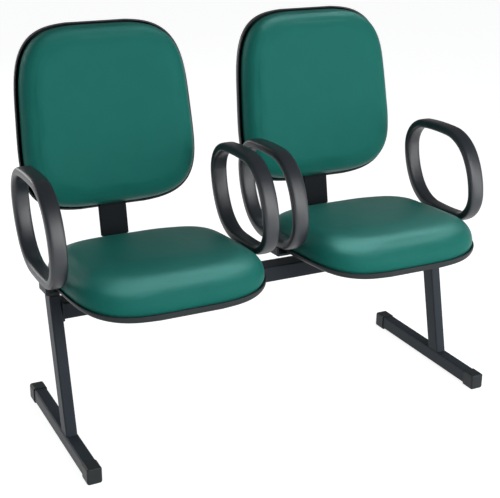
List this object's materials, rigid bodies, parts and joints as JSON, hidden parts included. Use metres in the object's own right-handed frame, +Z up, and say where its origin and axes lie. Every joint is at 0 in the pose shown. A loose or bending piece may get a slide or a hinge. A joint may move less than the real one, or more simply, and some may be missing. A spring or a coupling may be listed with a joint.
{
  "type": "beam seating",
  "caption": "Waiting-room beam seating with upholstered seats and backs, loop arms, a shared steel beam and raked legs on foot bars.",
  "frame": {"origin": "on the floor, in the middle of the seating's overall width and depth", "axes": "+X along the beam, to the right of someone who faces the seats; +Y from the seats' front to the backs; +Z up"},
  "size_m": [1.114, 0.5836, 0.9079],
  "materials": {
    "upholstery": "close woven green seating cloth with a soft sheen",
    "foam": "moulded polyurethane foam",
    "plywood": "raw moulded plywood",
    "black_moulding": "satin black polypropylene",
    "arm_moulding": "satin black integral-skin polyurethane",
    "painted_steel": "satin black powder coat",
    "bracket_steel": "satin black powder coat",
    "zinc_fasteners": "zinc plated",
    "dark_screws": "black zinc plated"
  },
  "bodies": {
    "root": {"arm_bolts": "zinc_fasteners", "arm_bracket_left_inner": "bracket_steel", "arm_bracket_left_outer": "bracket_steel", "arm_bracket_right_inner": "bracket_steel", "arm_bracket_right_outer": "bracket_steel", "arm_left_inner": "arm_moulding", "arm_left_outer": "arm_moulding", "arm_right_inner": "arm_moulding", "arm_right_outer": "arm_moulding", "back_bar_bolts": "zinc_fasteners", "back_bar_left": "painted_steel", "back_bar_right": "painted_steel", "back_bar_sleeve_left": "black_moulding", "back_bar_sleeve_right": "black_moulding", "back_bolts": "zinc_fasteners", "back_cover_left": "upholstery", "back_cover_right": "upholstery", "back_foam_left": "foam", "back_foam_right": "foam", "back_plywood_left": "plywood", "back_plywood_right": "plywood", "back_shell_left": "black_moulding", "back_shell_right": "black_moulding", "back_shell_screws": "dark_screws", "back_tee_nuts": "zinc_fasteners", "beam_clamp_left": "bracket_steel", "beam_clamp_right": "bracket_steel", "beam_end_plate_left": "painted_steel", "beam_end_plate_right": "painted_steel", "beam_spigot_left": "painted_steel", "beam_spigot_right": "painted_steel", "beam_tube": "painted_steel", "clamp_bolts": "zinc_fasteners", "clamp_nuts": "zinc_fasteners", "foot_bar_left": "painted_steel", "foot_bar_right": "painted_steel", "foot_cap_front_left": "black_moulding", "foot_cap_front_right": "black_moulding", "foot_cap_rear_left": "black_moulding", "foot_cap_rear_right": "black_moulding", "leg_column_left": "painted_steel", "leg_column_right": "painted_steel", "leg_plug_left": "black_moulding", "leg_plug_right": "black_moulding", "saddle_bolts": "zinc_fasteners", "saddle_bracket_left": "bracket_steel", "saddle_bracket_right": "bracket_steel", "seat_cover_left": "upholstery", "seat_cover_right": "upholstery", "seat_foam_left": "foam", "seat_foam_right": "foam", "seat_plywood_left": "plywood", "seat_plywood_right": "plywood", "seat_shell_left": "black_moulding", "seat_shell_right": "black_moulding", "seat_shell_screws": "dark_screws", "seat_tee_nuts": "zinc_fasteners", "spigot_bolts": "zinc_fasteners", "spigot_nuts": "zinc_fasteners"}
  },
  "joints": []
}
